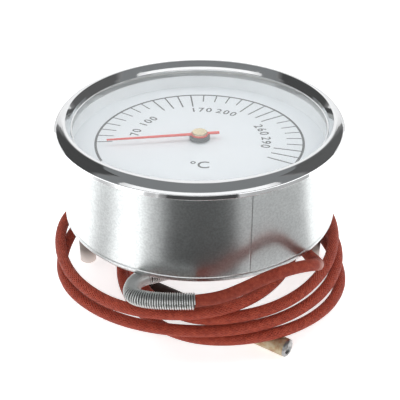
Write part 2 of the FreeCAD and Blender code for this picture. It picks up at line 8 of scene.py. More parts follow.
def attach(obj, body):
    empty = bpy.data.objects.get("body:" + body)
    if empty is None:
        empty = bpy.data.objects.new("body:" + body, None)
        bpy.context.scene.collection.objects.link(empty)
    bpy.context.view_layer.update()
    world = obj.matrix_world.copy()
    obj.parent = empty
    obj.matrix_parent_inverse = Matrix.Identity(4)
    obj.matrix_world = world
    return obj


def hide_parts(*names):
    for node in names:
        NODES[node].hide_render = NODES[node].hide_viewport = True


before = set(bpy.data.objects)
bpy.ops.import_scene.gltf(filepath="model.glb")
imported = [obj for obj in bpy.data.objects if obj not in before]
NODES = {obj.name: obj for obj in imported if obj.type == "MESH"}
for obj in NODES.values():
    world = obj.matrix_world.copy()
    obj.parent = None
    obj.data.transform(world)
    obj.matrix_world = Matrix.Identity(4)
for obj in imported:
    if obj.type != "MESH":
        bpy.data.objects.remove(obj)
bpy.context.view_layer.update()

MM = 0.001
MM_PER_METRE = 1000.0

# ------------------------------------------------------------------ camera

CAMERA_PLACE = Vector((0.0, -191.9, 143.3))
CAMERA_PITCH = math.radians(32.24)
CAMERA_YAW = math.radians(0.02)
CAMERA_ROLL = math.radians(-0.13)
SENSOR_WIDTH = 36.0
FOCAL_LENGTH = 73.04


def add_camera():
    """Camera in front of the dial and above it, looking down; places are in millimetres."""
    data = bpy.data.cameras.new("camera")
    data.sensor_width = SENSOR_WIDTH
    data.lens = FOCAL_LENGTH
    data.clip_start = 0.005
    data.clip_end = 20.0
    camera = bpy.data.objects.new("camera", data)
    bpy.context.collection.objects.link(camera)
    level = math.cos(CAMERA_PITCH)
    forward = Vector((math.sin(CAMERA_YAW) * level, math.cos(CAMERA_YAW) * level,
                      -math.sin(CAMERA_PITCH)))
    right = Vector((math.cos(CAMERA_YAW), -math.sin(CAMERA_YAW), 0.0))
    up = right.cross(forward)
    turned_right = right * math.cos(CAMERA_ROLL) + up * math.sin(CAMERA_ROLL)
    turned_up = up * math.cos(CAMERA_ROLL) - right * math.sin(CAMERA_ROLL)
    axes = Matrix((turned_right, turned_up, -forward)).transposed().to_4x4()
    camera.matrix_world = Matrix.Translation(CAMERA_PLACE * MM) @ axes
    bpy.context.scene.camera = camera


add_camera()

# ------------------------------------------------------------------ cord route, in millimetres

QUARTER_POINTS = 3


def ellipse_quarter(first, last, sideways):
    """Points of a quarter turn between two extremes of a coil, without the last one."""
    points = []
    for k in range(QUARTER_POINTS):
        turn = math.pi / 2 * k / QUARTER_POINTS
        rise = math.sin(turn)
        fall = math.cos(turn)
        if sideways:
            x = first[0] + (last[0] - first[0]) * rise
            y = last[1] + (first[1] - last[1]) * fall
        else:
            x = last[0] + (first[0] - last[0]) * fall
            y = first[1] + (last[1] - first[1]) * rise
        z = first[2] + (last[2] - first[2]) * k / QUARTER_POINTS
        points.append((x, y, z))
    return points


GUARD_ROUTE = [
    (7.0, -17.0, 23.9), (7.0, -17.0, 15.2), (-2.5, -21.5, 15.8), (-9.5, -29.8, 19.4),
    (-16.6, -33.0, 19.8), (-16.6, -42.2, 20.1), (-1.2, -42.0, 20.4),
]
# The first point is inside the guard's end, where the sleeve goes in.
LEAD_ROUTE = [
    (-4.2, -42.1, 20.3),
    (-1.2, -42.0, 20.4), (5.0, -42.0, 21.5), (10.0, -41.4, 23.6), (15.6, -40.0, 25.8),
    (21.5, -38.2, 27.1), (27.5, -34.6, 25.6), (30.2, -28.6, 21.0), (27.2, -20.0, 18.9),
    (25.0, -9.0, 18.9), (22.5, 4.0, 18.8), (15.5, 16.5, 18.5),
]
COIL_EXTREMES = [
    (4.0, 26.0, 18.0), (-41.1, 3.4, 11.0), (-3.8, -43.2, 16.5), (27.6, -3.0, 15.5),
    (0.0, 24.0, 14.5), (-19.1, -11.7, 13.6), (3.0, -41.2, 13.2), (39.4, 3.3, 12.4),
    (0.0, 38.0, 11.0), (-40.0, -6.5, 7.6), (2.0, -42.0, 10.1), (40.1, -3.0, 9.0),
    (0.0, 36.0, 7.5), (-22.7, -8.0, 6.8), (4.2, -41.5, 6.9), (40.2, -10.0, 5.4),
    (2.0, 40.0, 2.6), (-23.0, 12.0, 1.7),
]
BULB_FRONT = Vector((22.4, -38.9, 2.4))
BULB_TURN = math.radians(145.7)
BULB_LINE = (math.cos(BULB_TURN), math.sin(BULB_TURN), 0.0)
BULB_LENGTH = 46.0
BULB_BACK = BULB_FRONT + BULB_LENGTH * Vector(BULB_LINE)
TAIL_ROUTE = [(-23.0, 12.0, 1.7), (-23.4, 1.0, 1.8), (-21.4, -8.4, 2.2), tuple(BULB_BACK)]

sleeve_route = list(LEAD_ROUTE)
for k, (first, last) in enumerate(zip(COIL_EXTREMES, COIL_EXTREMES[1:])):
    sleeve_route += ellipse_quarter(first, last, k % 2 == 0)
sleeve_route += TAIL_ROUTE


def nurbs(name, route, radius=0.0, resolution=12):
    """Smooth curve on control points given in millimetres."""
    data = bpy.data.curves.new(name, "CURVE")
    data.dimensions = "3D"
    spline = data.splines.new("NURBS")
    spline.points.add(len(route) - 1)
    for point, place in zip(spline.points, route):
        point.co = (place[0] * MM, place[1] * MM, place[2] * MM, 1.0)
        point.radius = radius * MM
    spline.order_u = 3
    spline.use_endpoint_u = True
    spline.resolution_u = resolution
    data.bevel_depth = 1.0 if radius > 0 else 0.0
    data.bevel_resolution = 6
    data.use_fill_caps = radius > 0
    curve = bpy.data.objects.new(name, data)
    bpy.context.collection.objects.link(curve)
    return curve


def line_of(curve):
    """Points along an unbevelled curve, in millimetres, in order."""
    mesh = bpy.data.meshes.new_from_object(curve)
    points = [v.co / MM for v in mesh.vertices]
    bpy.data.meshes.remove(mesh)
    return points


# ------------------------------------------------------------------ mesh helpers


def add_mesh(name, verts, faces, smooth=35.0, recalc=True):
    """Piece from points in millimetres; edges sharper than smooth degrees stay hard."""
    mesh = bpy.data.meshes.new(name)
    mesh.from_pydata([Vector(v) * MM for v in verts], [], faces)
    if recalc:
        work = bmesh.new()
        work.from_mesh(mesh)
        bmesh.ops.recalc_face_normals(work, faces=work.faces)
        work.to_mesh(mesh)
        work.free()
    mesh.shade_smooth()
    if smooth < 180:
        mesh.set_sharp_from_angle(angle=math.radians(smooth))
    item = bpy.data.objects.new(name, mesh)
    bpy.context.collection.objects.link(item)
    return item


def rounded(profile, steps=6):
    """Corners (radius, level, fillet) of a closed outline, with their fillets drawn out."""
    out = []
    count = len(profile)
    for i, (x, y, fillet) in enumerate(profile):
        if fillet <= 0:
            out.append((x, y))
            continue
        here = Vector((x, y))
        before = Vector(profile[i - 1][:2]) - here
        after = Vector(profile[(i + 1) % count][:2]) - here
        corner = before.angle(after)
        cut = fillet / math.tan(corner / 2)
        cut = min(cut, 0.49 * before.length, 0.49 * after.length)
        radius = cut * math.tan(corner / 2)
        start = here + before.normalized() * cut
        end = here + after.normalized() * cut
        inward = (before.normalized() + after.normalized()).normalized()
        centre = here + inward * (radius / math.sin(corner / 2))
        a = start - centre
        b = end - centre
        sweep = a.angle(b)
        for k in range(steps + 1):
            f = k / steps
            arm = (a * math.sin((1 - f) * sweep) + b * math.sin(f * sweep)) / math.sin(sweep)
            out.append(tuple(centre + arm))
    return out


def lathe(name, profile, segments=240, angles=None, dent=None, smooth=35.0):
    """Outline (radius, level) turned about Z. A point on the axis closes it there."""
    if angles is None:
        angles = [2 * math.pi * i / segments for i in range(segments)]
    verts = []
    rings = []
    for r, z in profile:
        if r <= 1e-9:
            rings.append([len(verts)] * len(angles))
            verts.append((0.0, 0.0, z))
            continue
        ring = []
        for angle in angles:
            drop = dent(angle, r, z) if dent else 0.0
            ring.append(len(verts))
            verts.append(((r - drop) * math.cos(angle), (r - drop) * math.sin(angle), z))
        rings.append(ring)
    faces = []
    count = len(angles)
    for j in range(len(rings)):
        low = rings[j]
        high = rings[(j + 1) % len(rings)]
        for i in range(count):
            k = (i + 1) % count
            face = []
            for v in (low[i], low[k], high[k], high[i]):
                if v not in face:
                    face.append(v)
            if len(face) >= 3:
                faces.append(face)
    return add_mesh(name, verts, faces, smooth)


def tube_on(name, points, radius, sides):
    """Round wire through points, with flat ends."""
    verts = []
    faces = []
    side = None
    count = len(points)
    for i, point in enumerate(points):
        ahead = points[min(i + 1, count - 1)] - points[max(i - 1, 0)]
        ahead.normalize()
        if side is None:
            side = ahead.orthogonal().normalized()
        side = (side - ahead * side.dot(ahead)).normalized()
        other = ahead.cross(side)
        for k in range(sides):
            turn = 2 * math.pi * k / sides
            verts.append(point + radius * (side * math.cos(turn) + other * math.sin(turn)))
    for i in range(count - 1):
        for k in range(sides):
            n = (k + 1) % sides
            faces.append((i * sides + k, i * sides + n, (i + 1) * sides + n, (i + 1) * sides + k))
    faces.append(tuple(range(sides - 1, -1, -1)))
    faces.append(tuple((count - 1) * sides + k for k in range(sides)))
    return add_mesh(name, verts, faces, smooth=180.0)


# ------------------------------------------------------------------ cord pieces

SLEEVE_RADIUS = 1.5
# Radii of the guard's wire, of the line it is wound on and of the tube inside, and its pitch.
GUARD_WIRE = 0.2
GUARD_COIL = 1.9
GUARD_CORE = 1.62
GUARD_PITCH = 0.57
# Step along the guard's line, steps looked at each way for its bend, and the crowding there.
WIRE_STEP = 0.02
BEND_SPAN = 40
BEND_CROWDING = 0.3
# The grey crimped end reaches this far along the bulb; the copper starts there.
BULB_END = 0.8

sleeve = nurbs("sleeve", sleeve_route, SLEEVE_RADIUS)
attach(sleeve, "head")
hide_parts("capillary_sleeve")


def coil_wire(points, radius, pitch):
    """Close turns of wire round a line, crowded a little more where the line bends."""
    spaced = [points[0]]
    for a, b in zip(points, points[1:]):
        steps = max(1, int((b - a).length / WIRE_STEP))
        for k in range(1, steps + 1):
            spaced.append(a.lerp(b, k / steps))
    out = []
    turn = 0.0
    side = None
    for i, point in enumerate(spaced):
        ahead = spaced[min(i + 1, len(spaced) - 1)] - spaced[max(i - 1, 0)]
        ahead.normalize()
        if side is None:
            side = ahead.orthogonal().normalized()
        side = (side - ahead * side.dot(ahead)).normalized()
        other = ahead.cross(side)
        low = max(i - BEND_SPAN, 0)
        high = min(i + BEND_SPAN, len(spaced) - 1)
        first = (spaced[min(low + 2, high)] - spaced[low]).normalized()
        last = (spaced[high] - spaced[max(high - 2, low)]).normalized()
        bend = first.angle(last, 0.0) / max(WIRE_STEP * (high - low), 1e-6)
        out.append(point + radius * (side * math.cos(turn) + other * math.sin(turn)))
        turn += 2 * math.pi * WIRE_STEP / pitch * (1 + BEND_CROWDING * radius * bend)
    return out


guard_line = nurbs("guard_line", GUARD_ROUTE, resolution=24)
guard_points = line_of(guard_line)
bpy.data.objects.remove(guard_line)
guard_wire = coil_wire(guard_points, GUARD_COIL, GUARD_PITCH)
guard = tube_on("guard_coil", guard_wire, GUARD_WIRE, sides=8)
guard_core = tube_on("guard_core", guard_points, GUARD_CORE, sides=24)
for part in (guard, guard_core):
    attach(part, "head")
    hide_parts("spring_guard")


def laid_down(item):
    """Turn a piece made along +Z so that it lies along the bulb, dished end first."""
    across = Vector((0, 0, 1)).rotation_difference(Vector(BULB_LINE)).to_matrix().to_4x4()
    item.data.transform(Matrix.Translation(BULB_FRONT * MM) @ across)
    return item


bulb = laid_down(lathe("bulb", rounded([
    (0.0, BULB_END, 0), (2.4, BULB_END, 0), (2.4, 42.3, 0.4), (1.9, 43.0, 0.3),
    (1.9, BULB_LENGTH, 0), (0.0, BULB_LENGTH, 0),
]), segments=64))
bulb_end = laid_down(lathe("bulb_end", rounded([
    (0.0, 1.1, 0), (1.2, 0.75, 0.3), (1.6, 0.15, 0.15), (1.95, 0.0, 0.15), (2.36, 0.35, 0.3),
    (2.39, BULB_END, 0), (0.0, BULB_END, 0),
]), segments=64))
for part in (bulb, bulb_end):
    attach(part, "head")
    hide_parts("sensor_bulb")

# ------------------------------------------------------------------ materials

# The mix node has sockets for several kinds of data; these are the ones for colour.
MIX_FIRST = 6
MIX_SECOND = 7
MIX_RESULT = 2
# Where the painted shade on the bulb sets in and where it is full, in mm from the origin along the
# bulb's line.
NECK_SHADE_START = -20.0
NECK_SHADE_END = -8.0
# The same for the painted shadow of the case on the pillars, as heights.
CASE_SHADE_START = 0.5
CASE_SHADE_END = 4.8
# The sleeve's pale painted highlight, on its bend at the front right.
SHEEN_PLACE = (31.5, -33.0, 23.5)
SHEEN_RADIUS = 4.2
# The wave node draws ten ribs over two pi units.
RIB_SCALE = 2 * math.pi / 10
RIBS_ALONG = 1160
RIBS_AROUND = 14
RIB_DEPTH = 0.13


def material(name, colour, rough, metallic, **sockets):
    """Principled material; other sockets by name with underscores for spaces."""
    item = bpy.data.materials.new(name)
    item.use_nodes = True
    shader = item.node_tree.nodes["Principled BSDF"]
    shader.inputs["Base Color"].default_value = (*colour, 1.0)
    shader.inputs["Roughness"].default_value = rough
    shader.inputs["Metallic"].default_value = metallic
    for key, value in sockets.items():
        shader.inputs[key.replace("_", " ")].default_value = value
    item.diffuse_color = (*colour, 1.0)
    return item


def place_node(item, stretch=(1.0, 1.0, 1.0), source="Object"):
    """Place on the piece, stretched, as an input for a texture."""
    nodes = item.node_tree.nodes
    links = item.node_tree.links
    where = nodes.new("ShaderNodeTexCoord")
    scale = nodes.new("ShaderNodeMapping")
    scale.inputs["Scale"].default_value = stretch
    links.new(where.outputs[source], scale.inputs["Vector"])
    return scale.outputs["Vector"]


def noise(item, size_mm, detail, turbulence=0.5):
    """Soft noise from 0 to 1 with features of about a size in millimetres."""
    node = item.node_tree.nodes.new("ShaderNodeTexNoise")
    node.inputs["Scale"].default_value = MM_PER_METRE / size_mm
    node.inputs["Detail"].default_value = detail
    node.inputs["Roughness"].default_value = turbulence
    item.node_tree.links.new(place_node(item), node.inputs["Vector"])
    return node.outputs["Fac"]


def ramp(item, fac, stops):
    """Colours, or greys given as one number, at stops between 0 and 1."""
    node = item.node_tree.nodes.new("ShaderNodeValToRGB")
    item.node_tree.links.new(fac, node.inputs["Fac"])
    marks = node.color_ramp.elements
    while len(marks) < len(stops):
        marks.new(0.5)
    for mark, (where, colour) in zip(marks, stops):
        mark.position = where
        if not isinstance(colour, tuple):
            colour = (colour, colour, colour)
        mark.color = (*colour, 1.0)
    return node.outputs["Color"]


def to_colour(item, output):
    item.node_tree.links.new(output, item.node_tree.nodes["Principled BSDF"].inputs["Base Color"])


def to_rough(item, fac, low, high):
    node = item.node_tree.nodes.new("ShaderNodeMapRange")
    node.inputs["To Min"].default_value = low
    node.inputs["To Max"].default_value = high
    links = item.node_tree.links
    links.new(fac, node.inputs["Value"])
    links.new(node.outputs["Result"], item.node_tree.nodes["Principled BSDF"].inputs["Roughness"])


def to_bump(item, height, depth_mm, strength=1.0):
    """Relief of a depth in millimetres, added to any that the look already has."""
    node = item.node_tree.nodes.new("ShaderNodeBump")
    node.inputs["Distance"].default_value = depth_mm * MM
    node.inputs["Strength"].default_value = strength
    links = item.node_tree.links
    links.new(height, node.inputs["Height"])
    normal = item.node_tree.nodes["Principled BSDF"].inputs["Normal"]
    if normal.is_linked:
        links.new(normal.links[0].from_socket, node.inputs["Normal"])
    links.new(node.outputs["Normal"], normal)


def blend(item, amount, first, second):
    """First colour output turned towards a second, fixed colour."""
    node = item.node_tree.nodes.new("ShaderNodeMix")
    node.data_type = "RGBA"
    links = item.node_tree.links
    links.new(amount, node.inputs["Factor"])
    links.new(first, node.inputs[MIX_FIRST])
    node.inputs[MIX_SECOND].default_value = (*second, 1.0)
    return node.outputs[MIX_RESULT]


def share_along(item, direction, start, end):
    """0 to 1 between two distances in mm from the origin along a direction."""
    nodes = item.node_tree.nodes
    links = item.node_tree.links
    where = nodes.new("ShaderNodeTexCoord")
    along = nodes.new("ShaderNodeVectorMath")
    along.operation = "DOT_PRODUCT"
    along.inputs[1].default_value = direction
    links.new(where.outputs["Object"], along.inputs[0])
    share = nodes.new("ShaderNodeMapRange")
    share.inputs["From Min"].default_value = start * MM
    share.inputs["From Max"].default_value = end * MM
    links.new(along.outputs["Value"], share.inputs["Value"])
    return share.outputs["Result"]


def metal(name, colour, rough, spread=0.08, grain_mm=0.5, bump_mm=0.004, mottle=0.12):
    """Metal with mottled tone, uneven polish and a fine grain."""
    item = material(name, colour, rough, 1.0)
    dark = tuple(c * (1 - mottle) for c in colour)
    light = tuple(min(1.0, c * (1 + mottle * 0.5)) for c in colour)
    to_colour(item, ramp(item, noise(item, 6.0, 5.0), [(0.3, dark), (0.7, light)]))
    to_rough(item, noise(item, grain_mm * 3, 4.0), rough - spread, rough + spread)
    to_bump(item, noise(item, grain_mm, 3.0), bump_mm)
    return item


def dress(item, look):
    item.data.materials.clear()
    item.data.materials.append(look)


def dress_node(name, look):
    """Give a look to every slot of a CAD node."""
    node = NODES[name]
    for spot in node.material_slots:
        spot.material = look
    if not node.material_slots:
        node.data.materials.append(look)


def zinc_look():
    """Zinc plate: faint clouds, and a fine grain in both tone and height."""
    item = material("zinc_plate", (0.80, 0.83, 0.83), 0.285, 1.0)
    clouds = ramp(item, noise(item, 6.0, 5.0), [
        (0.3, (0.80, 0.83, 0.83)), (0.7, (0.86, 0.89, 0.89))])
    grain = noise(item, 0.5, 2.0)
    specks = ramp(item, grain, [(0.35, 0.0), (0.65, 0.45)])
    to_colour(item, blend(item, specks, clouds, (0.52, 0.54, 0.54)))
    to_rough(item, noise(item, 1.5, 4.0), 0.277, 0.293)
    to_bump(item, grain, 0.022)
    return item


zinc = zinc_look()
chrome = metal("bezel_chrome", (0.90, 0.91, 0.92), 0.07, spread=0.03, grain_mm=2.0,
               bump_mm=0.0015, mottle=0.03)
brass = metal("movement_brass", (0.78, 0.60, 0.28), 0.3)
hub_brass = metal("hub_brass", (0.86, 0.72, 0.46), 0.28, bump_mm=0.003)
steel = metal("plain_steel", (0.56, 0.57, 0.58), 0.32)
spring_steel = metal("spring_steel", (0.86, 0.87, 0.86), 0.40, grain_mm=0.3, bump_mm=0.003)
copper = metal("tube_copper", (0.62, 0.33, 0.20), 0.35)


def aged_copper():
    """Dull copper gone brown, with olive and grey patches, and painted shade darkening it towards
    its neck.
    """
    item = material("bulb_copper", (0.36, 0.24, 0.15), 0.42, 0.6)
    tone = ramp(item, noise(item, 2.2, 6.0, turbulence=0.65), [
        (0.28, (0.16, 0.09, 0.055)), (0.42, (0.42, 0.25, 0.14)), (0.55, (0.50, 0.42, 0.27)),
        (0.72, (0.62, 0.50, 0.40))])
    # Painted shade: the bulb goes near-black towards its neck, standing for the shadow it lies in.
    neck_shade = share_along(item, BULB_LINE, NECK_SHADE_START, NECK_SHADE_END)
    to_colour(item, blend(item, neck_shade, tone, (0.030, 0.014, 0.010)))
    to_rough(item, noise(item, 1.0, 4.0), 0.3, 0.6)
    to_bump(item, noise(item, 0.5, 4.0), 0.012)
    return item


bulb_copper = aged_copper()
crimped_steel = metal("crimped_end", (0.42, 0.42, 0.42), 0.3, grain_mm=0.4, bump_mm=0.02,
                      mottle=0.4)


def pillar_look():
    """Cream plating, with the case's shadow painted on from just above the free end up to the case.
    """
    item = material("pillar_cream", (0.74, 0.68, 0.64), 0.42, 1.0)
    tone = ramp(item, noise(item, 3.0, 5.0), [
        (0.3, (0.70, 0.64, 0.60)), (0.7, (0.78, 0.72, 0.68))])
    # Painted shade: the pillars darken towards the case above them, standing for its shadow.
    case_shade = share_along(item, (0.0, 0.0, 1.0), CASE_SHADE_START, CASE_SHADE_END)
    to_colour(item, blend(item, case_shade, tone, (0.19, 0.165, 0.15)))
    to_rough(item, noise(item, 1.8, 4.0), 0.34, 0.50)
    to_bump(item, noise(item, 0.6, 3.0), 0.003)
    return item


cream = pillar_look()


def enamel(name, colour, rough, mottle=0.03, peel_mm=0.9):
    """Painted or moulded surface with a faint mottle and a soft peel."""
    item = material(name, colour, rough, 0.0)
    dark = tuple(c * (1 - mottle) for c in colour)
    light = tuple(min(1.0, c * (1 + mottle)) for c in colour)
    to_colour(item, ramp(item, noise(item, 5.0, 4.0), [(0.3, dark), (0.7, light)]))
    to_rough(item, noise(item, 2.0, 3.0), rough - 0.05, rough + 0.05)
    to_bump(item, noise(item, peel_mm, 3.0), 0.002)
    return item


dial_white = enamel("dial_white", (0.73, 0.76, 0.785), 0.42, mottle=0.012)
spacer_white = enamel("spacer_white", (0.88, 0.90, 0.91), 0.5)
ink = enamel("dial_ink", (0.06, 0.06, 0.06), 0.5, mottle=0.2, peel_mm=0.3)
pointer_red = enamel("pointer_red", (0.74, 0.055, 0.035), 0.38, mottle=0.06)
boss_black = enamel("boss_black", (0.045, 0.05, 0.05), 0.35, mottle=0.15)


def glass_look():
    """Thin clear glass, seen mostly by what it mirrors."""
    item = material("lens_clear", (0.94, 0.97, 0.98), 0.04, 0.0, IOR=1.5, Alpha=0.1)
    to_rough(item, noise(item, 9.0, 4.0), 0.02, 0.09)
    tint = ramp(item, noise(item, 14.0, 3.0), [
        (0.3, (0.90, 0.95, 0.97)), (0.7, (0.97, 0.99, 1.0))])
    to_colour(item, tint)
    return item


def wave(item, along, around):
    """Ribs that wind round a tube: counts of ribs along its length and round it."""
    nodes = item.node_tree.nodes
    ribs = nodes.new("ShaderNodeTexWave")
    ribs.wave_type = "BANDS"
    ribs.bands_direction = "DIAGONAL"
    ribs.inputs["Scale"].default_value = 1.0
    where = place_node(item, (along * RIB_SCALE, around * RIB_SCALE, 1.0), "UV")
    item.node_tree.links.new(where, ribs.inputs["Vector"])
    return ribs.outputs["Fac"]


def worn_spot(item, centre, radius):
    """1 at a place on the object, in millimetres, falling to 0 at a radius, with a rough edge."""
    nodes = item.node_tree.nodes
    links = item.node_tree.links
    where = nodes.new("ShaderNodeTexCoord")
    shift = nodes.new("ShaderNodeMapping")
    shift.inputs["Location"].default_value = [-c / radius for c in centre]
    shift.inputs["Scale"].default_value = (MM_PER_METRE / radius,) * 3
    links.new(where.outputs["Object"], shift.inputs["Vector"])
    ball = nodes.new("ShaderNodeTexGradient")
    ball.gradient_type = "QUADRATIC_SPHERE"
    links.new(shift.outputs["Vector"], ball.inputs["Vector"])
    rough = nodes.new("ShaderNodeMath")
    rough.operation = "MULTIPLY"
    links.new(ball.outputs["Fac"], rough.inputs[0])
    links.new(noise(item, 0.8, 5.0), rough.inputs[1])
    lift = nodes.new("ShaderNodeMapRange")
    lift.inputs["From Max"].default_value = 0.3
    links.new(rough.outputs["Value"], lift.inputs["Value"])
    return lift.outputs["Result"]


def sleeve_look():
    """Brick-red coated braid: crossed ribs, a matt coat, patchy tone and a pale painted highlight.
    """
    item = material("sleeve_red", (0.30, 0.036, 0.02), 0.6, 0.0, Specular_IOR_Level=0.3)
    tone = ramp(item, noise(item, 1.1, 8.0, turbulence=0.75), [
        (0.30, (0.23, 0.026, 0.013)), (0.5, (0.37, 0.052, 0.026)), (0.70, (0.50, 0.092, 0.048))])
    # Painted highlight: a pale pink patch on the bend at the front right stands for sheen.
    painted_sheen = blend(item, worn_spot(item, SHEEN_PLACE, SHEEN_RADIUS), tone, (0.80, 0.52, 0.46))
    to_colour(item, painted_sheen)
    to_rough(item, noise(item, 1.2, 4.0), 0.45, 0.75)
    to_bump(item, wave(item, RIBS_ALONG, RIBS_AROUND), RIB_DEPTH)
    to_bump(item, wave(item, RIBS_ALONG, -RIBS_AROUND), RIB_DEPTH)
    to_bump(item, noise(item, 2.6, 3.0), 0.08, 0.5)
    return item


lens_clear = glass_look()
sleeve_red = sleeve_look()
sleeve.data.materials.append(sleeve_red)
dress(guard, spring_steel)
# Painted shade: the tube inside the guard is near-black so that the gaps between the turns look
# shaded.
dress(guard_core, enamel("inner_tube_painted_shade", (0.05, 0.045, 0.04), 0.5, mottle=0.3))
dress(bulb, bulb_copper)
dress(bulb_end, crimped_steel)

# ------------------------------------------------------------------ case and bezel

CASE_RADIUS = 37.0
DRUM_STEPS = 300
SEAM_TURN = math.radians(-71.0)
SEAM_FOOT = 24.4
SEAM_HALF_WIDTH = 0.2
SEAM_DEPTH = 0.06
SEAM_STEP = 0.06


def drum_angles():
    """Even steps round the drum, with fine ones beside the seam."""
    even = [2 * math.pi * i / DRUM_STEPS for i in range(DRUM_STEPS)]
    fine = []
    for k in range(-8, 9):
        fine.append((SEAM_TURN + k * SEAM_STEP / CASE_RADIUS) % (2 * math.pi))
    keep = [a for a in even if min(abs(a - f) for f in fine) > 0.004]
    return sorted(keep + fine)


def seam_dent(angle, radius, level):
    """The strip's two ends meet in a shallow groove on the outside of the wall."""
    if radius < CASE_RADIUS - 0.5 or level < SEAM_FOOT:
        return 0.0
    away = abs((angle - SEAM_TURN + math.pi) % (2 * math.pi) - math.pi) * CASE_RADIUS
    if away > SEAM_HALF_WIDTH:
        return 0.0
    return SEAM_DEPTH * (1.0 - (away / SEAM_HALF_WIDTH) ** 2)


# Rolled lip at the bottom, a groove above it, and the plain wall.
drum_profile = rounded([
    (35.0, 22.0, 0.2), (CASE_RADIUS, 22.0, 0.75), (CASE_RADIUS, 23.3, 0.1), (36.85, 23.55, 0.15),
    (CASE_RADIUS, 23.8, 0.1), (CASE_RADIUS, 24.6, 0), (CASE_RADIUS, 46.0, 0), (36.0, 46.0, 0),
    (36.0, 22.8, 0), (35.0, 22.8, 0.2),
])
drum = lathe("case_wall", drum_profile, angles=drum_angles(), dent=seam_dent)
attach(drum, "head")
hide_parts("case_drum")
dress(drum, zinc)

# From the inner wall over the rolled rim and down to the skirt's crimped edge, then back inside.
bezel_profile = rounded([
    (33.4, 46.92, 0), (33.4, 47.0, 0), (33.65, 47.12, 0.1), (33.95, 47.85, 0.8), (34.9, 49.5, 0.3),
    (35.75, 49.45, 1.5), (36.75, 48.9, 3.0), (37.55, 48.1, 3.0), (38.0, 47.25, 1.0),
    (38.0, 46.1, 0.35), (37.5, 45.6, 0.25), (37.05, 45.65, 0), (37.1, 45.95, 0),
    (37.35, 46.2, 0.2), (37.35, 47.2, 0.5), (35.6, 48.55, 0.4), (35.2, 48.25, 0.3),
    (34.9, 46.92, 0),
], steps=8)
bezel = lathe("bezel", bezel_profile, segments=300, smooth=50.0)
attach(bezel, "head")
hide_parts("bezel_ring")
dress(bezel, chrome)

gasket = lathe("glass_gasket", rounded([
    (35.62, 45.15, 0), (35.95, 45.15, 0), (35.95, 46.95, 0), (35.1, 46.95, 0),
    (35.62, 46.7, 0.1),
]), smooth=30.0)
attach(gasket, "head")
dress(gasket, enamel("gasket_cream", (0.86, 0.85, 0.82), 0.5, mottle=0.04))

# The crimping tool left a small dark nick in the skirt, at the front left.
NICK_TURN = math.radians(-126.0)
NICK_RADIUS = 37.97
NICK_LEVEL = 46.35
nick = lathe("crimp_nick", rounded([
    (0.0, -0.25, 0), (0.42, -0.25, 0), (0.3, 0.0, 0.1), (0.0, 0.02, 0),
]), segments=16)
outward = Vector((math.cos(NICK_TURN), math.sin(NICK_TURN), 0.0))
nick_place = outward * NICK_RADIUS + Vector((0, 0, NICK_LEVEL))
nick.data.transform(Matrix.Translation(nick_place * MM)
                    @ Vector((0, 0, 1)).rotation_difference(outward).to_matrix().to_4x4())
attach(nick, "head")
dress(nick, enamel("nick_dark", (0.05, 0.03, 0.025), 0.5, mottle=0.3, peel_mm=0.2))

# ------------------------------------------------------------------ dial print

# The print lies between two levels just above the dial.
DIAL_TOP = 41.5
INK = 0.02
PRINT_GAP = 0.004
ARC_INNER = 27.3
ARC_OUTER = 27.95
ARC_START = -29.9
ARC_END = 205.0
ARC_STEPS = 170
LONG_TICKS = [-29.9, -22.4, -14.7, 31.0, 38.8, 46.8, 54.9, 95.4, 103.6, 111.7, 119.8]
SHORT_TICKS = [-7.4, 0.3, 7.9, 15.4, 23.2, 63.0, 71.1, 79.2, 87.3, 127.9, 136.0, 144.0, 151.9,
               159.9, 167.5, 175.2, 183.0]
LONG_TICK_FOOT = 20.0
LONG_TICK_WIDTH = 0.42
SHORT_TICK_FOOT = 23.2
SHORT_TICK_WIDTH = 0.36
TICK_TOP = 27.5
NUMERALS = (70, 100, 170, 200, 260, 290)
NUMERAL_HEIGHT = 2.5
NUMERAL_STEP = 2.05
NUMERAL_RING = 16.6
# Azimuth of 50 on the scale, and the turn for each 1 on it, in degrees.
AZIMUTH_OF_50 = 183.0
SCALE_STEP = 0.7885
SIGN_HEIGHT = 3.4
SIGN_FOOT = -15.5
# A digit's height as a share of the font's size, and how much each stroke is thickened.
DIGIT_SHARE = 0.72
STROKE_GROWTH = 0.05


def ring_band(inner, outer, start, end, count):
    """Flat band of the print between two azimuths in degrees, as verts and faces."""
    verts = []
    faces = []
    for i in range(count + 1):
        turn = math.radians(start + (end - start) * i / count)
        for radius in (inner, outer):
            for level in (DIAL_TOP + PRINT_GAP, DIAL_TOP + INK):
                verts.append((radius * math.cos(turn), radius * math.sin(turn), level))
    for i in range(count):
        a = 4 * i
        b = a + 4
        faces += [(a + 1, b + 1, b + 3, a + 3), (a, a + 2, b + 2, b),
                  (a, b, b + 1, a + 1), (a + 2, a + 3, b + 3, b + 2)]
    faces += [(0, 1, 3, 2), (4 * count, 4 * count + 2, 4 * count + 3, 4 * count + 1)]
    return verts, faces


def tick(azimuth, inner, outer, width):
    """Flat bar of the print along a radius, as verts and faces."""
    turn = math.radians(azimuth)
    along = Vector((math.cos(turn), math.sin(turn), 0))
    across = Vector((-math.sin(turn), math.cos(turn), 0)) * (width / 2)
    verts = []
    for level in (DIAL_TOP + PRINT_GAP, DIAL_TOP + INK):
        for radius, sign in ((inner, -1), (outer, -1), (outer, 1), (inner, 1)):
            verts.append(along * radius + across * sign + Vector((0, 0, level)))
    faces = [(4, 5, 6, 7), (3, 2, 1, 0), (0, 1, 5, 4), (1, 2, 6, 5), (2, 3, 7, 6), (3, 0, 4, 7)]
    return verts, faces


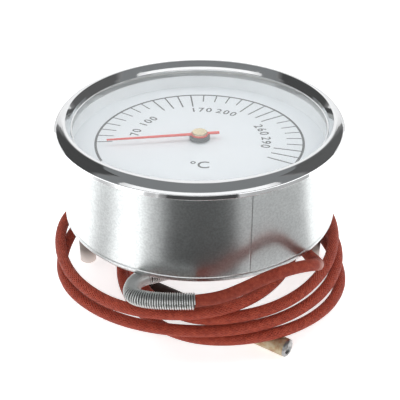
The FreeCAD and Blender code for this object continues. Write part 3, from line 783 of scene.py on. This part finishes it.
def scale_mesh():
    """The arc and its ticks as one piece."""
    parts = [ring_band(ARC_INNER, ARC_OUTER, ARC_START, ARC_END, ARC_STEPS)]
    for azimuth in LONG_TICKS:
        parts.append(tick(azimuth, LONG_TICK_FOOT, TICK_TOP, LONG_TICK_WIDTH))
    for azimuth in SHORT_TICKS:
        parts.append(tick(azimuth, SHORT_TICK_FOOT, TICK_TOP, SHORT_TICK_WIDTH))
    verts = []
    faces = []
    for part_verts, part_faces in parts:
        base = len(verts)
        verts += part_verts
        faces += [tuple(base + v for v in face) for face in part_faces]
    return add_mesh("dial_scale", verts, faces, smooth=20.0)


scale_print = scale_mesh()
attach(scale_print, "head")
dress(scale_print, ink)


def numeral_mesh(text, size_mm):
    """Flat mesh of one numeral, centred on its own width, with its foot at y = 0."""
    data = bpy.data.curves.new("numeral", "FONT")
    data.body = text
    data.size = size_mm * MM / DIGIT_SHARE
    data.align_x = "CENTER"
    data.extrude = INK * MM / 2
    data.offset = STROKE_GROWTH * MM
    holder = bpy.data.objects.new("numeral", data)
    bpy.context.collection.objects.link(holder)
    mesh = bpy.data.meshes.new_from_object(holder)
    bpy.data.objects.remove(holder)
    bpy.data.curves.remove(data)
    return mesh


def numerals():
    """Plain numbers on a ring inside the ticks, and the unit under the hub, as one piece."""
    joined = bmesh.new()
    level = DIAL_TOP + INK / 2 + PRINT_GAP
    sign = numeral_mesh("\u00b0C", SIGN_HEIGHT)
    sign.transform(Matrix.Translation(Vector((0.0, SIGN_FOOT, level)) * MM))
    joined.from_mesh(sign)
    bpy.data.meshes.remove(sign)
    for value in NUMERALS:
        azimuth = AZIMUTH_OF_50 - (value - 50) * SCALE_STEP
        text = str(value)
        for i, digit in enumerate(text):
            offset = (i - (len(text) - 1) / 2) * NUMERAL_STEP
            turn = math.radians(azimuth) - offset / NUMERAL_RING
            mesh = numeral_mesh(digit, NUMERAL_HEIGHT)
            stand = Matrix.Rotation(turn - math.pi / 2, 4, "Z")
            place = Vector((NUMERAL_RING * math.cos(turn), NUMERAL_RING * math.sin(turn), level))
            mesh.transform(Matrix.Translation(place * MM) @ stand)
            joined.from_mesh(mesh)
            bpy.data.meshes.remove(mesh)
    mesh = bpy.data.meshes.new("dial_numerals")
    joined.to_mesh(mesh)
    joined.free()
    item = bpy.data.objects.new("dial_numerals", mesh)
    bpy.context.collection.objects.link(item)
    return item


digits = numerals()
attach(digits, "head")
dress(digits, ink)

# ------------------------------------------------------------------ looks of the CAD nodes

LOOKS = {
    "back_cover": zinc, "lens_glass": lens_clear, "spacer_ring": spacer_white,
    "dial_plate": dial_white, "dial_support_ring": steel, "pointer": pointer_red,
    "pointer_hub": hub_brass, "pointer_boss": boss_black, "pointer_spindle": steel,
    "sector_gear": brass, "sector_arbor": steel, "link_pin": steel, "drive_link": brass,
    "movement_bottom_plate": brass, "movement_top_plate": brass, "movement_posts": brass,
    "movement_screws": steel, "bourdon_tube": copper, "bourdon_tip": brass,
    "socket_block": brass, "capillary_gland": brass, "mounting_pillars": cream,
    "spring_guard": spring_steel, "capillary_sleeve": sleeve_red, "sensor_bulb": bulb_copper,
    "case_drum": zinc, "bezel_ring": chrome,
}
for name, look in LOOKS.items():
    dress_node(name, look)

# ------------------------------------------------------------------ floor, lights and room

FLOOR_HALF = 1400.0
FLOOR_DROP = 0.2
FLOOR_GLOW = 0.58
ROOM_LIGHT = 0.22
LIGHT_TARGET = Vector((0, 0, 25))
# The studio's panels stand on a dome, and its cards lie just above the floor.
DOME_RADIUS = 1600
PANEL_STEPS = 12
CARD_LEVEL = 0.4
CARD_STEPS = 6


def floor_look():
    """White light table, which also glows a little from below."""
    item = enamel("floor_white", (0.93, 0.93, 0.93), 0.6, mottle=0.006, peel_mm=3.0)
    shader = item.node_tree.nodes["Principled BSDF"]
    shader.inputs["Emission Color"].default_value = (1.0, 1.0, 1.0, 1.0)
    shader.inputs["Emission Strength"].default_value = FLOOR_GLOW
    return item


def add_floor():
    half = FLOOR_HALF
    corners = [(-half, -half, 0), (half, -half, 0), (half, half, 0), (-half, half, 0)]
    floor = add_mesh("floor", corners, [(0, 1, 2, 3)], recalc=False)
    floor.location.z = -FLOOR_DROP * MM
    dress(floor, floor_look())


def area_light(name, place, size_x, size_y, power):
    """Soft box aimed at the object; polished surfaces don't mirror it."""
    data = bpy.data.lights.new(name, "AREA")
    data.shape = "RECTANGLE"
    data.size = size_x * MM
    data.size_y = size_y * MM
    data.energy = power
    lamp = bpy.data.objects.new(name, data)
    lamp.visible_glossy = False
    bpy.context.collection.objects.link(lamp)
    lamp.location = Vector(place) * MM
    aim = (LIGHT_TARGET - Vector(place)).normalized()
    lamp.rotation_euler = aim.to_track_quat("-Z", "Y").to_euler()


def glow_look(name, middle, edge, soft):
    """Glowing panel, even in the middle and fading across to its two sides."""
    item = enamel(name, (0.02, 0.02, 0.02), 0.9, mottle=0.1)
    nodes = item.node_tree.nodes
    links = item.node_tree.links
    where = nodes.new("ShaderNodeTexCoord")
    split = nodes.new("ShaderNodeSeparateXYZ")
    links.new(where.outputs["UV"], split.inputs["Vector"])
    fade = ramp(item, split.outputs["X"], [
        (0.0, edge), (soft, middle), (1.0 - soft, middle), (1.0, edge)])
    shader = nodes["Principled BSDF"]
    links.new(fade, shader.inputs["Emission Color"])
    shader.inputs["Emission Strength"].default_value = 1.0
    return item


def studio_only(item):
    """A panel or card that polished surfaces mirror, and that lights nothing else."""
    item.visible_camera = False
    item.visible_diffuse = False
    item.visible_shadow = False
    item.visible_transmission = False


def sheet(name, rows, middle, edge, soft):
    """Studio sheet between two rows of points, with its fade running along the rows."""
    low, high = rows
    across = len(low) - 1
    faces = [(i, i + 1, across + i + 2, across + i + 1) for i in range(across)]
    item = add_mesh(name, low + high, faces, recalc=False)
    layer = item.data.uv_layers.new(name="across")
    for loop in item.data.loops:
        layer.data[loop.index].uv = (loop.vertex_index % (across + 1) / across, 0.5)
    studio_only(item)
    dress(item, glow_look(name, middle, edge, soft))


def arc(turns, steps, radius, level, side):
    """Row of points between two turns in degrees from the Y axis; side -1 counts from -Y."""
    row = []
    for i in range(steps + 1):
        turn = math.radians(turns[0] + (turns[1] - turns[0]) * i / steps)
        row.append((radius * math.sin(turn), side * radius * math.cos(turn), level))
    return row


def panel(name, turns, heights, middle, edge=0.22, soft=0.2):
    """Panel on a dome round the object; turn 0 is behind it, + to its right."""
    rows = []
    for height in heights:
        rise = math.radians(height)
        rows.append(arc(turns, PANEL_STEPS, DOME_RADIUS * math.cos(rise),
                        DOME_RADIUS * math.sin(rise), 1))
    sheet(name, rows, middle, edge, soft)


def floor_card(name, turns, radii, middle, edge, soft):
    """Card on the floor between two distances from the axis; turn 0 is in front, + to the right."""
    rows = [arc(turns, CARD_STEPS, radius, CARD_LEVEL, -1) for radius in radii]
    sheet(name, rows, middle, edge, soft)


def add_room():
    """Soft grey room that fills the shadows evenly."""
    world = bpy.data.worlds.new("room")
    bpy.context.scene.world = world
    world.use_nodes = True
    shade = world.node_tree.nodes["Background"]
    shade.inputs["Color"].default_value = (0.96, 1.0, 1.02, 1.0)
    shade.inputs["Strength"].default_value = ROOM_LIGHT


add_floor()
floor_card("dark_card", (-26, 25), (58, 330), 0.025, edge=0.35, soft=0.06)
floor_card("grey_card", (25, 78), (58, 160), 0.42, edge=0.55, soft=0.1)
floor_card("left_card", (-36, -26), (58, 220), 0.52, edge=0.8, soft=0.3)
floor_card("rear_card", (135, 225), (90, 700), 0.72, edge=0.8, soft=0.1)
floor_card("side_card", (-76, -56), (50, 140), 0.58, edge=1.0, soft=0.35)
panel("back_panel", (-36, 36), (-3, 24), 0.90, edge=0.7, soft=0.1)
panel("top_panel", (-34, 34), (24, 79), 0.95)
panel("left_flag", (-102, -36), (-1, 52), 0.04, soft=0.1)
panel("right_flag", (36, 102), (-1, 52), 0.08, soft=0.1)
panel("front_panel", (120, 240), (10, 33), 1.05, edge=0.7, soft=0.1)
area_light("left_box", (-420, 60, 300), 380, 420, 0.8)
area_light("right_box", (420, 60, 300), 380, 420, 0.8)
area_light("top_box", (0, 100, 520), 620, 420, 1.6)
area_light("front_box", (0, -480, 330), 420, 160, 1.0)
add_room()
bpy.context.scene.view_settings.view_transform = "Standard"

# ------------------------------------------------------------------ finish

bpy.context.view_layer.update()
